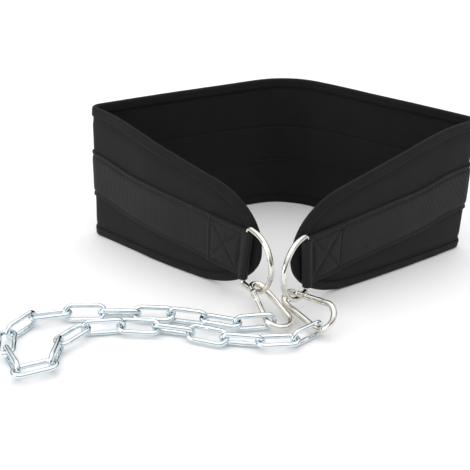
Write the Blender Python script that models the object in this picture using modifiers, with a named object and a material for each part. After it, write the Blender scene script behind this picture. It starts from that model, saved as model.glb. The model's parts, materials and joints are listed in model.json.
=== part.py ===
# Dip belt: a padded waist belt with a full-length strap, two D-rings, two spring hooks and a steel chain.
# The belt stands on its lower edge, open at the front, and the chain lies doubled on the same floor.
# Metres, +Z up, the wearer's front towards -Y. A place along the belt is its distance from the middle of the
# back, negative towards the left tip, and every soft piece is laid out flat before it is bent to the plan line.

import math

import bmesh
import bpy
from mathutils import Matrix, Vector

# Clearances
GAP = 0.0003

# Panel
BELT_LENGTH = 0.955
BELT_HEIGHT = 0.158
BELT_SPREAD = 0.417
BELT_DEPTH = 0.262
PANEL_THICKNESS = 0.0054
PANEL_EDGE_THICKNESS = 0.0036
SEAM_THICKNESS = 0.0042
PAD_SWELL = 0.012
# Farthest that a border line of the panel lies from its edge, and the least room between its lines, as shares
# of its height
BORDER_SHARE = 0.22
LEAST_SHARE = 0.08
TIP_LEVEL = 0.048
TIP_TOP_START = 0.875
TIP_TOP_POWER = 2.4
TIP_FOOT_START = 0.835
TIP_FOOT_POWER = 2.0
TIP_BLUNT = 0.0003
TIP_STEPS = 7

# Edge binding
TAPE_THICKNESS = 0.0009
TAPE_WIDTH = 0.010

# Webbing strap
STRAP_WIDTH = 0.050
STRAP_THICKNESS = 0.0018
BAR_FROM_TIP = 0.013
TAIL_LENGTH = 0.048
FOLD_RADIUS = 0.003
# Where the strap starts to rise over the binding, before the ring bar, and how long it takes
CROSSING_START = 0.052
CROSSING_RUN = 0.030

# D-rings
RING_WIRE = 0.0055
RING_WIDTH = 0.060
RING_CORNER = 0.004
RING_LEG = 0.012
RING_SWING = {"left": math.radians(20), "right": math.radians(20)}

# Spring hooks, flat before they are laid down
HOOK_WIRE = 0.006
HOOK_LENGTH = 0.068
HOOK_SMALL_WIDTH = 0.019
HOOK_BIG_WIDTH = 0.031
GATE_PIVOT_SETBACK = 0.007
GATE_OPENING = 0.034
TONGUE_THICKNESS = 0.0022
TONGUE_RADIUS = 0.0024
SLOT_DEPTH = 0.0062
PIN_RADIUS = 0.001
PIN_HEAD_RADIUS = 0.0017
PIN_HEAD_HEIGHT = 0.0005

# Chain links
LINK_WIRE = 0.0045
LINK_INNER_LENGTH = 0.032
LINK_WIDTH = 0.0175

# Fineness of the meshes
STRAIGHT_STEP = 0.035
TIP_MARGIN = STRAIGHT_STEP / 3
SLOPE_STEP = STRAIGHT_STEP / 4
MERGE_DISTANCE = GAP / 10
BEND_STEP = math.radians(18)
LOOP_STEPS = 10
FOLD_STEPS = 3
CORNER_STEPS = 3
BOW_STEPS = 16
SMALL_STEPS = 8
BIG_STEPS = 10
EYE_STEPS = 5
BALL_STEPS = 3
GATE_SIDES = 12
LINK_STEPS = 6
ROUTE_STEP = 0.0002
SHARP_ANGLE = math.radians(40)
MITRE_LIMIT = 0.5
EDGE_ROUND = 0.0006
POST_CLEARANCE = 0.0004

# Plan line of the belt as corners: shares of the spread and the depth, and the radius of the bend
PLAN_CORNERS = {
    "left_end": (-0.026, -0.563, 0.0),
    "left_bow": (-0.301, -0.251, 0.500),
    "left_fold": (-0.501, 0.027, 0.009),
    "back": (0.027, 0.496, 0.070),
    "right_fold": (0.499, 0.004, 0.009),
    "right_bow": (0.311, -0.238, 0.500),
    "right_end": (0.017, -0.580, 0.0),
}

# Flat pattern from the middle of the back: share of half the length, shares of the height of the top edge
# before the tip is rounded and of the middle of the strap
PATTERN = (
    {"along": 0.000, "top": 1.000, "strap": 0.487},
    {"along": 0.250, "top": 0.977, "strap": 0.487},
    {"along": 0.490, "top": 0.945, "strap": 0.469},
    {"along": 0.555, "top": 0.935, "strap": 0.455},
    {"along": 0.635, "top": 0.897, "strap": 0.405},
    {"along": 0.740, "top": 0.816, "strap": 0.369},
    {"along": 0.880, "top": 0.707, "strap": 0.318},
    {"along": 1.000, "top": 0.620, "strap": 0.282},
)

# Where each hook lies: the place on its ring as an angle round the lower arc, how far its narrow end is drawn
# past the ring's wire, and the hook's heading, dip and roll in degrees
HOOK_POSES = {
    "left": {"ring_angle": 36.0, "seat": 0.005, "heading": -64.0, "dip": 14.0, "roll": 174.0},
    "right": {"ring_angle": 32.0, "seat": 0.003, "heading": -50.0, "dip": -1.0, "roll": 55.0},
}

# The chain's way from the right hook to the left one, and how its links stand there: each second link leans by
# the last value in degrees and the others by 90 less, so 45 is a lying chain and 90 one of upright and flat links
CHAIN_ROUTE = [
    (0.0328, -0.2059, 0.0088, 90.0),
    (0.0055, -0.2313, 0.0088, 90.0),
    (-0.0300, -0.2360, 0.0088, 82.0),
    (-0.0620, -0.2300, 0.0085, 60.0),
    (-0.0980, -0.2170, 0.0082, 48.0),
    (-0.1400, -0.2140, 0.0086, 56.0),
    (-0.1600, -0.2160, 0.0090, 70.0),
    (-0.1850, -0.2240, 0.0092, 88.0),
    (-0.1980, -0.2500, 0.0092, 90.0),
    (-0.1960, -0.2952, 0.0092, 90.0),
    (-0.2260, -0.2972, 0.0092, 90.0),
    (-0.2440, -0.2500, 0.0092, 90.0),
    (-0.2460, -0.2120, 0.0092, 90.0),
    (-0.2050, -0.1950, 0.0092, 84.0),
    (-0.1650, -0.1920, 0.0086, 62.0),
    (-0.1250, -0.1900, 0.0082, 42.0),
    (-0.0900, -0.1930, 0.0090, 20.0),
    (-0.0680, -0.2000, 0.0092, 4.0),
    (-0.0450, -0.2085, 0.0094, 0.0),
    (-0.0040, -0.1996, 0.0110, 0.0),
]

COLOURS = {
    "neoprene": ((0.022, 0.022, 0.023, 1.0), 0.85, 0.0),
    "binding": ((0.030, 0.030, 0.031, 1.0), 0.80, 0.0),
    "webbing": ((0.026, 0.026, 0.027, 1.0), 0.75, 0.0),
    "nickel": ((0.80, 0.78, 0.74, 1.0), 0.16, 1.0),
    "zinc": ((0.72, 0.77, 0.82, 1.0), 0.25, 1.0),
}


def mix(first, second, share):
    """Value between two others: the first at share 0, the second at share 1."""
    return first + (second - first) * share


def ease(value):
    """Smooth rise from 0 to 1."""
    value = min(max(value, 0.0), 1.0)
    return value * value * (3.0 - 2.0 * value)


def arc(centre, radius, start, end, steps):
    """Points round a circle in the plane, both ends included."""
    angles = [mix(start, end, step / steps) for step in range(steps + 1)]
    return [Vector(centre) + radius * Vector((math.cos(a), math.sin(a))) for a in angles]


# Plan line

def plan_stretches():
    """Straight and round stretches of the belt's middle surface, seen from above."""
    corners = [(Vector((x * BELT_SPREAD, y * BELT_DEPTH)), bend) for x, y, bend in PLAN_CORNERS.values()]
    names = list(PLAN_CORNERS)
    stretches = []
    start = corners[0][0]
    length = 0.0
    middle = 0.0
    for number in range(1, len(corners) - 1):
        corner, radius = corners[number]
        heading = (corner - corners[number - 1][0]).normalized()
        onward = (corners[number + 1][0] - corner).normalized()
        turn = math.atan2(heading.cross(onward), heading.dot(onward))
        reach = radius * math.tan(abs(turn) / 2)
        straight = (corner - start).length - reach
        stretches.append({"at": length, "start": start, "heading": heading, "length": straight, "turn": 0.0})
        length += straight
        bend = radius * abs(turn)
        entry = corner - heading * reach
        stretches.append({"at": length, "start": entry, "heading": heading, "length": bend, "turn": turn})
        if names[number] == "back":
            middle = length + bend / 2
        length += bend
        start = corner + onward * reach
    last = (corners[-1][0] - start)
    stretches.append({"at": length, "start": start, "heading": last.normalized(), "length": last.length,
                      "turn": 0.0})
    for stretch in stretches:
        stretch["at"] -= middle
    return stretches


STRETCHES = plan_stretches()


def along_plan(distance):
    """Point of the plan line, its heading and its outward normal, at a distance from the middle of the back."""
    stretch = [part for part in STRETCHES if part["at"] <= distance or part is STRETCHES[0]][-1]
    gone = distance - stretch["at"]
    heading = stretch["heading"]
    if stretch["turn"] == 0.0:
        point = stretch["start"] + heading * gone
    else:
        radius = stretch["length"] / stretch["turn"]
        normal = Vector((-heading.y, heading.x))
        angle = gone / radius
        point = stretch["start"] + heading * radius * math.sin(angle) + normal * radius * (1 - math.cos(angle))
        heading = heading * math.cos(angle) + normal * math.sin(angle)
    return point, heading, Vector((-heading.y, heading.x))


def place(distance, outward, height):
    """Point of the standing belt for a place of the flat pattern."""
    point, _, normal = along_plan(distance)
    point = point + normal * outward
    return Vector((point.x, point.y, height))


# Flat pattern

def pattern(name, distance):
    """Smooth value of a pattern column at a distance from the middle of the back."""
    share = min(abs(distance) / (BELT_LENGTH / 2), 1.0)
    rows = [(row["along"], row[name]) for row in PATTERN]
    index = max(number for number in range(len(rows) - 1) if rows[number][0] <= share)
    slopes = []
    for number in (index, index + 1):
        before = rows[max(number - 1, 0)]
        after = rows[min(number + 1, len(rows) - 1)]
        slopes.append((after[1] - before[1]) / (after[0] - before[0]))
    if index == 0:
        slopes[0] = 0.0
    width = rows[index + 1][0] - rows[index][0]
    part = (share - rows[index][0]) / width
    rise = rows[index + 1][1] - rows[index][1]
    bulge = part * (1 - part) * (slopes[0] * width * (1 - part) - slopes[1] * width * part)
    return rows[index][1] + rise * ease(part) + bulge


def rounded(distance, start, power):
    """Height share that is left where a tip is rounded, from 1 before it starts to 0 at the tip."""
    share = (abs(distance) / (BELT_LENGTH / 2) - start) / (1 - start)
    return (1 - min(max(share, 0.0), 1.0) ** power) ** (1 / power)


def top_edge(distance):
    straight = pattern("top", distance) * BELT_HEIGHT
    return mix(TIP_LEVEL, straight, rounded(distance, TIP_TOP_START, TIP_TOP_POWER))


def foot_edge(distance):
    return mix(TIP_LEVEL, 0.0, rounded(distance, TIP_FOOT_START, TIP_FOOT_POWER))


def strap_level(distance):
    return pattern("strap", distance) * BELT_HEIGHT


def columns():
    """Distances of the crosswise lines, close together in the bends and round the tips."""
    reach = BELT_LENGTH / 2
    tip_start = reach * TIP_FOOT_START
    found = []
    for stretch in STRETCHES:
        steps = math.ceil(abs(stretch["turn"]) / BEND_STEP) or math.ceil(stretch["length"] / STRAIGHT_STEP)
        found += [stretch["at"] + stretch["length"] * step / steps for step in range(steps)]
    middle = [value for value in found if abs(value) < tip_start - TIP_MARGIN]
    full = math.acos(TIP_BLUNT / (reach - tip_start))
    tip = [mix(tip_start, reach, math.sin(full * step / TIP_STEPS)) for step in range(TIP_STEPS + 1)]
    return [-value for value in reversed(tip)] + middle + tip


COLUMNS = columns()


def outline():
    """Closed outline of the bound belt in the flat pattern, anticlockwise from the left tip."""
    foot = [Vector((distance, foot_edge(distance))) for distance in COLUMNS]
    top = [Vector((distance, top_edge(distance))) for distance in reversed(COLUMNS)]
    return foot + top


OUTLINE = outline()


def inset(points, depth):
    """Closed outline moved inwards."""
    moved = []
    for number, point in enumerate(points):
        before = (point - points[number - 1]).normalized()
        after = (points[(number + 1) % len(points)] - point).normalized()
        inward = (Vector((-before.y, before.x)) + Vector((-after.y, after.x))).normalized()
        moved.append(point + inward * depth / max(inward.dot(Vector((-before.y, before.x))), MITRE_LIMIT))
    return moved


def edge_distance(point):
    """Distance of a pattern point from the outline."""
    nearest = BELT_HEIGHT
    for number, end in enumerate(OUTLINE):
        start = OUTLINE[number - 1]
        run = end - start
        share = min(max((point - start).dot(run) / run.length_squared, 0.0), 1.0)
        nearest = min(nearest, (point - start - run * share).length)
    return nearest


def panel_lines(distance):
    """Heights of the panel's nine lengthwise lines and half its thickness on each."""
    cover = TAPE_THICKNESS + GAP
    foot = foot_edge(distance) + cover
    top = top_edge(distance) - cover
    border = min(TAPE_WIDTH, (top - foot) * BORDER_SHARE)
    least = (top - foot) * LEAST_SHARE
    half = STRAP_WIDTH / 2 / math.cos(strap_slope(distance))
    low = max(strap_level(distance) - half, foot + border + least)
    high = min(strap_level(distance) + half, top - border - least)
    heights = (foot, foot + border, (foot + border + low) / 2, low, (low + high) / 2, high,
               (high + top - border) / 2, top - border, top)
    seam = SEAM_THICKNESS / 2
    pad = PANEL_THICKNESS / 2
    edge = PANEL_EDGE_THICKNESS / 2
    full = (edge, edge, pad, seam, pad, seam, pad, edge, edge)
    halves = []
    for height, thick in zip(heights, full):
        inside = edge_distance(Vector((distance, height))) - TAPE_WIDTH - GAP
        swell = min(max(inside / PAD_SWELL, 0.0), 1.0)
        halves.append(min(thick, mix(edge, pad, swell)))
    return list(zip(heights, halves))


# Strap

def strap_slope(distance):
    """Angle at which the strap falls towards a tip."""
    rise = strap_level(abs(distance) + SLOPE_STEP) - strap_level(abs(distance) - SLOPE_STEP)
    return math.atan2(rise, 2 * SLOPE_STEP)


BAR = BELT_LENGTH / 2 - BAR_FROM_TIP
LOOP_RADIUS = RING_WIRE / 2 + GAP + STRAP_THICKNESS / 2
LAYER = STRAP_THICKNESS + GAP
LOOP_LAYER = PANEL_EDGE_THICKNESS / 2 + TAPE_THICKNESS + 2 * GAP + STRAP_THICKNESS / 2
BAR_OUT = LOOP_LAYER + LOOP_RADIUS


def strap_layer(distance, across):
    """Offset of the strap's middle surface from the belt's, across being -1, 0 or 1 from edge to edge."""
    lines = panel_lines(distance)
    bed = lines[3 + across + 1][1] + GAP + STRAP_THICKNESS / 2
    lift = ease((abs(distance) - BAR + CROSSING_START) / CROSSING_RUN)
    return mix(bed, LOOP_LAYER, lift)


def strap_point(side, distance, across, outward):
    """Point of the strap; near a loop its crosswise line turns square to the strap."""
    square = ease((distance - BAR + CROSSING_START) / CROSSING_RUN)
    slope = strap_slope(min(distance, BAR))
    half = across * STRAP_WIDTH / 2
    shift = -math.sin(slope) * half * square
    rise = half * mix(1 / math.cos(slope), math.cos(slope), square)
    level = strap_level(min(distance, BAR)) + math.tan(slope) * max(distance - BAR, 0.0)
    return place(side * (distance + shift), outward, level + rise)


def loop_section():
    """Distance and offset of the strap's middle surface round the bar, from the belt back to the tail."""
    turn_back = LOOP_LAYER + LAYER + FOLD_RADIUS
    apart = LOOP_RADIUS + FOLD_RADIUS
    behind = math.sqrt(apart ** 2 - (turn_back - BAR_OUT) ** 2)
    lean = math.asin((turn_back - BAR_OUT) / apart)
    over = arc((BAR, BAR_OUT), LOOP_RADIUS, -math.pi / 2, math.pi - lean, LOOP_STEPS)
    under = arc((BAR - behind, turn_back), FOLD_RADIUS, -lean, -math.pi / 2, FOLD_STEPS)
    return over + under[1:]


# Making objects

def collection(name):
    made = bpy.data.collections.new(name)
    bpy.context.scene.collection.children.link(made)
    return made


def material(name):
    colour, roughness, metallic = COLOURS[name]
    made = bpy.data.materials.new(name)
    made.use_nodes = True
    shader = made.node_tree.nodes["Principled BSDF"]
    shader.inputs["Base Color"].default_value = colour
    shader.inputs["Roughness"].default_value = roughness
    shader.inputs["Metallic"].default_value = metallic
    return made


def add(name, data, slot, parent):
    """New object with its own material, under a parent."""
    made = bpy.data.objects.new(name, data)
    PARTS.objects.link(made)
    made.parent = parent
    if not data.materials:
        data.materials.append(MATERIALS[slot])
    return made


def mapped_grid(name, across, along, closed, point):
    """Mesh of a grid whose lines are bent by a function of the two line numbers; closed both ways or open."""
    shape = bmesh.new()
    extra = 0 if closed else 1
    spans = Vector((along - extra, across - extra))
    bmesh.ops.create_grid(shape, x_segments=int(spans.x), y_segments=int(spans.y), size=0.5)
    for vertex in shape.verts:
        column = round((vertex.co.x + 0.5) * spans.x)
        row = round((vertex.co.y + 0.5) * spans.y)
        vertex.co = point(column % along, row % across)
    if closed:
        bmesh.ops.remove_doubles(shape, verts=shape.verts, dist=MERGE_DISTANCE)
        bmesh.ops.recalc_face_normals(shape, faces=shape.faces)
    mesh = bpy.data.meshes.new(name)
    shape.to_mesh(mesh)
    shape.free()
    mesh.shade_smooth()
    mesh.set_sharp_from_angle(angle=SHARP_ANGLE)
    return mesh


def thicken(piece, thickness, group=""):
    shell = piece.modifiers.new("thickness", "SOLIDIFY")
    shell.thickness = thickness
    shell.offset = 0.0
    shell.use_even_offset = True
    shell.vertex_group = group


def wire_curve(name, points, diameter, sides, closed):
    """Round wire along points."""
    curve = bpy.data.curves.new(name, "CURVE")
    curve.dimensions = "3D"
    curve.bevel_depth = diameter / 2
    curve.bevel_resolution = (sides - 4) // 2
    curve.use_fill_caps = not closed
    spline = curve.splines.new("POLY")
    spline.points.add(len(points) - 1)
    spline.use_cyclic_u = closed
    spline.use_smooth = True
    for target, point in zip(spline.points, points):
        target.co = (point.x, point.y, 0.0, 1.0)
    return curve


def meshed(piece):
    """Mesh of a curve object, with its loose caps welded on."""
    bpy.context.view_layer.update()
    evaluated = piece.evaluated_get(bpy.context.evaluated_depsgraph_get())
    mesh = bpy.data.meshes.new_from_object(evaluated)
    shape = bmesh.new()
    shape.from_mesh(mesh)
    bmesh.ops.remove_doubles(shape, verts=shape.verts, dist=MERGE_DISTANCE)
    bmesh.ops.recalc_face_normals(shape, faces=shape.faces)
    shape.to_mesh(mesh)
    shape.free()
    mesh.shade_smooth()
    mesh.set_sharp_from_angle(angle=SHARP_ANGLE)
    return mesh


def as_mesh(piece):
    """Replace a curve object by a mesh object of the same shape, place and name."""
    name = piece.name
    mesh = meshed(piece)
    made = bpy.data.objects.new(name + "_mesh", mesh)
    for home in piece.users_collection:
        home.objects.link(made)
    made.parent = piece.parent
    made.matrix_world = piece.matrix_world
    bpy.data.objects.remove(piece)
    made.name = name
    return made


def turned(name, profile, steps):
    """Solid of revolution about Z, from a half section that runs from the top down."""
    shape = bmesh.new()
    verts = [shape.verts.new((radius, 0.0, height)) for radius, height in profile]
    for first, second in zip(verts, verts[1:]):
        shape.edges.new((first, second))
    mesh = bpy.data.meshes.new(name)
    shape.to_mesh(mesh)
    shape.free()

    def spin(piece):
        screw = piece.modifiers.new("turn", "SCREW")
        screw.axis = "Z"
        screw.steps = steps
        screw.render_steps = steps
        screw.use_merge_vertices = True
        screw.merge_threshold = MERGE_DISTANCE
        screw.use_smooth_shade = True

    return mesh, spin


def cut(piece, cutter, operation="DIFFERENCE"):
    boolean = piece.modifiers.new(cutter.name, "BOOLEAN")
    boolean.operation = operation
    boolean.solver = "EXACT"
    boolean.object = cutter


def as_cutter(piece):
    piece.hide_render = True
    piece.display_type = "WIRE"
    for home in piece.users_collection:
        home.objects.unlink(piece)
    CUTTERS.objects.link(piece)
    return piece


# Soft pieces

def make_body(root):
    lines = [panel_lines(distance) for distance in COLUMNS]
    rim = inset(OUTLINE, TAPE_THICKNESS + GAP)
    count = len(COLUMNS)
    halves = {}

    def point(column, row):
        foot = rim[column]
        top = rim[2 * count - 1 - column]
        low = lines[column][0][0]
        high = lines[column][-1][0]
        height, half = lines[column][row]
        spot = foot.lerp(top, (height - low) / (high - low))
        position = place(spot.x, 0.0, spot.y)
        halves[tuple(round(value, 6) for value in position)] = half
        return position

    mesh = mapped_grid("belt_body", len(lines[0]), count, False, point)
    body = add("belt_body", mesh, "neoprene", root)
    group = body.vertex_groups.new(name="thickness")
    for vertex in mesh.vertices:
        half = halves[tuple(round(value, 6) for value in vertex.co)]
        group.add([vertex.index], half * 2 / PANEL_THICKNESS, "REPLACE")
    thicken(body, PANEL_THICKNESS, group.name)
    return body


def make_binding(root):
    """Tape folded round the whole outline: outside flap, edge and inside flap."""
    inner = PANEL_EDGE_THICKNESS / 2 + GAP
    outer = inner + TAPE_THICKNESS
    edge = OUTLINE
    fold = inset(OUTLINE, TAPE_THICKNESS)
    flap = inset(OUTLINE, TAPE_WIDTH)
    section = ((flap, outer), (edge, outer), (edge, -outer), (flap, -outer),
               (flap, -inner), (fold, -inner), (fold, inner), (flap, inner))

    def point(column, row):
        line, outward = section[row]
        return place(line[column].x, outward, line[column].y)

    mesh = mapped_grid("edge_binding", len(section), len(OUTLINE), True, point)
    return add("edge_binding", mesh, "binding", root)


def make_strap(root):
    """Webbing along the outer face, turned back round a ring bar at each end and laid over itself."""
    loop = loop_section()
    last = loop[-1].x
    half = [distance for distance in COLUMNS if abs(distance) < last]
    tail_start = BAR - TAIL_LENGTH
    tail = [distance for distance in half if distance > tail_start]
    steps = []
    for side in (-1, 1):
        end = [(side, step.x, step.y) for step in loop]
        end += [(side, distance, None) for distance in reversed([tail_start] + tail)]
        steps.append(end)
    base = [(math.copysign(1, distance) or 1, abs(distance), 0.0) for distance in half]
    path = list(reversed(steps[0])) + base + steps[1]

    def point(column, row):
        side, distance, outward = path[column]
        across = row - 1
        if outward is None:
            outward = strap_layer(distance, across) + LAYER
        elif outward == 0.0:
            outward = strap_layer(distance, across)
        return strap_point(side, distance, across, outward)

    mesh = mapped_grid("webbing_strap", 3, len(path), False, point)
    strap = add("webbing_strap", mesh, "webbing", root)
    thicken(strap, STRAP_THICKNESS)
    return strap


# D-rings

def ring_points():
    """Middle line of a D-ring: bar on the Y axis, bow towards +X."""
    half = RING_WIDTH / 2
    corner = RING_CORNER
    quarter = math.pi / 2
    low = arc((corner, corner - half), corner, 2 * quarter, 3 * quarter, CORNER_STEPS)
    bow = arc((RING_LEG, 0.0), half, -quarter, quarter, BOW_STEPS)
    high = arc((corner, half - corner), corner, quarter, 2 * quarter, CORNER_STEPS)
    return low + bow + high


def ring_frame(side):
    """Place of a D-ring: X out along the swung ring, Y up the bar."""
    swing = RING_SWING["left" if side < 0 else "right"]
    centre = strap_point(side, BAR, 0, BAR_OUT)
    up = (strap_point(side, BAR, 1, BAR_OUT) - strap_point(side, BAR, -1, BAR_OUT)).normalized()
    normal = (centre - strap_point(side, BAR, 0, 0.0)).normalized()
    tipward = -side * up.cross(normal)
    out = tipward * math.cos(swing) + normal * math.sin(swing)
    frame = Matrix((out, up, out.cross(up))).transposed().to_4x4()
    return Matrix.Translation(centre) @ frame


def make_ring(side, name, root):
    ring = add(name, wire_curve(name, ring_points(), RING_WIRE, 8, True), "nickel", root)
    ring.matrix_world = ring_frame(side)
    return ring


# Hooks, with X from the narrow end to the wide end and Y to the gate

SMALL_BEND = (HOOK_SMALL_WIDTH - HOOK_WIRE) / 2
BIG_BEND = (HOOK_BIG_WIDTH - HOOK_WIRE) / 2
BEND_DISTANCE = HOOK_LENGTH - (HOOK_SMALL_WIDTH + HOOK_BIG_WIDTH) / 2
FLARE = math.asin((BIG_BEND - SMALL_BEND) / BEND_DISTANCE)
LEG_START = Vector((-math.sin(FLARE), math.cos(FLARE))) * SMALL_BEND
LEG_DIRECTION = Vector((math.cos(FLARE), math.sin(FLARE)))
PIVOT = LEG_START + LEG_DIRECTION * GATE_PIVOT_SETBACK
# The gate's round end about the pin
GATE_END = HOOK_WIRE / 2
SLOT_WIDTH = TONGUE_THICKNESS + 2 * GAP


def hook_points():
    """Middle line of the hook's wire, from the hinge post round both bends to the nose."""
    side = math.pi / 2 + FLARE
    post = PIVOT - LEG_DIRECTION * (GATE_END + POST_CLEARANCE)
    small = arc((0.0, 0.0), SMALL_BEND, side, 2 * math.pi - side, SMALL_STEPS)
    big = arc((BEND_DISTANCE, 0.0), BIG_BEND, -side, side, BIG_STEPS)
    nose = PIVOT + LEG_DIRECTION * (GATE_OPENING + GAP)
    return [post] + small + big + [nose]


def tongue_curve():
    """Flat eye that stands out of the hook's post and carries the pin."""
    curve = bpy.data.curves.new("tongue", "CURVE")
    curve.dimensions = "2D"
    curve.fill_mode = "BOTH"
    curve.extrude = TONGUE_THICKNESS / 2
    root_depth = GATE_END + POST_CLEARANCE + HOOK_WIRE / 2
    head = arc((0.0, 0.0), TONGUE_RADIUS, -math.pi / 2, math.pi / 2, EYE_STEPS)
    foot = [Vector((-root_depth, TONGUE_RADIUS)), Vector((-root_depth, -TONGUE_RADIUS))]
    hole = arc((0.0, 0.0), PIN_RADIUS + GAP, 0.0, 2 * math.pi, 2 * EYE_STEPS)[:-1]
    for points in (head + foot, hole):
        spline = curve.splines.new("POLY")
        spline.points.add(len(points) - 1)
        spline.use_cyclic_u = True
        for target, point in zip(spline.points, points):
            target.co = (point.x, point.y, 0.0, 1.0)
    return curve


def hook_frame(side):
    """Place of a hook: its seat lies on the middle of the D-ring's wire."""
    pose = HOOK_POSES["left" if side < 0 else "right"]
    angle = math.radians(pose["ring_angle"])
    half = RING_WIDTH / 2
    on_ring = Vector((RING_LEG + half * math.sin(angle), -half * math.cos(angle), 0.0))
    turn = (Matrix.Rotation(math.radians(pose["heading"]), 4, "Z")
            @ Matrix.Rotation(math.radians(pose["dip"]), 4, "Y")
            @ Matrix.Rotation(math.radians(pose["roll"]), 4, "X"))
    seat = Matrix.Translation((-pose["seat"], 0.0, 0.0))
    return Matrix.Translation(ring_frame(side) @ on_ring) @ turn @ seat


def gate_frame(side):
    """Place of a gate: origin on the pin, Z towards the nose, Y on the pin's axis."""
    lean = Matrix((LEG_DIRECTION.to_3d().cross(Vector((0, 0, 1))) * -1,
                   Vector((0, 0, 1)), LEG_DIRECTION.to_3d())).transposed()
    return hook_frame(side) @ Matrix.Translation(PIVOT.to_3d()) @ lean.to_4x4()


def make_hook(side, name, root):
    hook = add(name, wire_curve(name, hook_points(), HOOK_WIRE, 8, False), "nickel", root)
    hook.matrix_world = hook_frame(side)
    hook = as_mesh(hook)
    tongue = bpy.data.objects.new(name + "_tongue", tongue_curve())
    CUTTERS.objects.link(tongue)
    tongue.parent = root
    lean = Matrix.Rotation(FLARE, 4, "Z")
    tongue.matrix_world = hook_frame(side) @ Matrix.Translation(PIVOT.to_3d()) @ lean
    cut(hook, as_cutter(as_mesh(tongue)), "UNION")
    return hook


def make_gate(side, name, root):
    """Round gate: a ball end about the pin and a straight barrel with a flat end at the nose."""
    radius = HOOK_WIRE / 2
    ball = [(radius * math.cos(a), -radius * math.sin(a))
            for a in (math.pi / 2 * step / BALL_STEPS for step in range(BALL_STEPS + 1))]
    ball[-1] = (0.0, -radius)
    end = GATE_OPENING
    profile = [(0.0, end), (radius - EDGE_ROUND, end), (radius, end - EDGE_ROUND)] + ball
    mesh, spin = turned(name, profile, GATE_SIDES)
    gate = add(name, mesh, "nickel", root)
    gate.matrix_world = gate_frame(side)
    spin(gate)
    slot = box_cutter(name + "_slot", (4 * radius, SLOT_WIDTH, 2 * SLOT_DEPTH), gate, -radius)
    cut(gate, slot)
    hole = rod_cutter(name + "_hole", PIN_RADIUS + GAP, 4 * radius, gate)
    cut(gate, hole)
    return gate


def box_cutter(name, size, owner, height):
    shape = bmesh.new()
    bmesh.ops.create_cube(shape, size=1.0, matrix=Matrix.Diagonal((*size, 1.0)))
    mesh = bpy.data.meshes.new(name)
    shape.to_mesh(mesh)
    shape.free()
    box = bpy.data.objects.new(name, mesh)
    CUTTERS.objects.link(box)
    box.parent = owner.parent
    box.matrix_world = owner.matrix_world @ Matrix.Translation((0.0, 0.0, height))
    return as_cutter(box)


def rod_cutter(name, radius, length, owner):
    shape = bmesh.new()
    bmesh.ops.create_cone(shape, cap_ends=True, segments=2 * EYE_STEPS, radius1=radius, radius2=radius,
                          depth=length, matrix=Matrix.Rotation(math.pi / 2, 4, "X"))
    mesh = bpy.data.meshes.new(name)
    shape.to_mesh(mesh)
    shape.free()
    rod = bpy.data.objects.new(name, mesh)
    CUTTERS.objects.link(rod)
    rod.parent = owner.parent
    rod.matrix_world = owner.matrix_world
    return as_cutter(rod)


def make_pin(side, name, root):
    """Riveted cross pin with a head outside each cheek of the gate."""
    under = HOOK_WIRE / 2 + GAP
    over = under + PIN_HEAD_HEIGHT
    profile = [(0.0, over), (PIN_HEAD_RADIUS, over), (PIN_HEAD_RADIUS, under), (PIN_RADIUS, under),
               (PIN_RADIUS, -under), (PIN_HEAD_RADIUS, -under), (PIN_HEAD_RADIUS, -over), (0.0, -over)]
    mesh, spin = turned(name, profile, 2 * EYE_STEPS)
    pin = add(name, mesh, "nickel", root)
    pin.matrix_world = hook_frame(side) @ Matrix.Translation(PIVOT.to_3d())
    spin(pin)
    return pin


# Chain

LINK_BEND = (LINK_WIDTH - LINK_WIRE) / 2
LINK_REACH = LINK_INNER_LENGTH + LINK_WIRE
LINK_HOLD = LINK_WIRE + GAP


def link_points():
    """Middle line of a link: start end at the origin, the far end along +X."""
    quarter = math.pi / 2
    start = arc((LINK_BEND, 0.0), LINK_BEND, quarter, 3 * quarter, LINK_STEPS)
    end = arc((LINK_REACH - LINK_BEND, 0.0), LINK_BEND, -quarter, quarter, LINK_STEPS)
    return start + end


def route_point(travel):
    """Point of the chain's route at a length from its start and the lean there, or None past its end."""
    for first, second in zip(CHAIN_ROUTE, CHAIN_ROUTE[1:]):
        start = Vector(first[:3])
        length = (Vector(second[:3]) - start).length
        if travel <= length:
            share = travel / length
            return start.lerp(Vector(second[:3]), share), mix(first[3], second[3], share)
        travel -= length
    return None


def reach_route(start, travel, reach):
    """First length along the route, past the given one, whose point lies at the reach from the start."""
    while route_point(travel) is not None and (route_point(travel)[0] - start).length < reach:
        travel += ROUTE_STEP
    return travel


def flatness(number, lean):
    """How flat a link lies, from 0 for an upright one to 1."""
    return math.cos(math.radians(lean if number % 2 else lean - 90.0)) ** 2


def chain_places():
    """Start, direction and lean of each link, walked along the route with every link held by the one before."""
    places = []
    start = Vector(CHAIN_ROUTE[0][:3])
    travel = 0.0
    while True:
        travel = reach_route(start, travel, LINK_REACH)
        if route_point(travel) is None:
            return places
        point, lean = route_point(travel)
        direction = (point - start).normalized()
        places.append((start, direction, math.radians(lean)))
        end = start + direction * LINK_REACH
        further = route_point(reach_route(end, travel, LINK_REACH - LINK_HOLD))
        if further is None:
            return places
        onward = (further[0] - end).normalized()
        number = len(places)
        pull = direction * flatness(number, lean) + onward * flatness(number + 1, lean)
        start = end - pull.normalized() * LINK_HOLD


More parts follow.
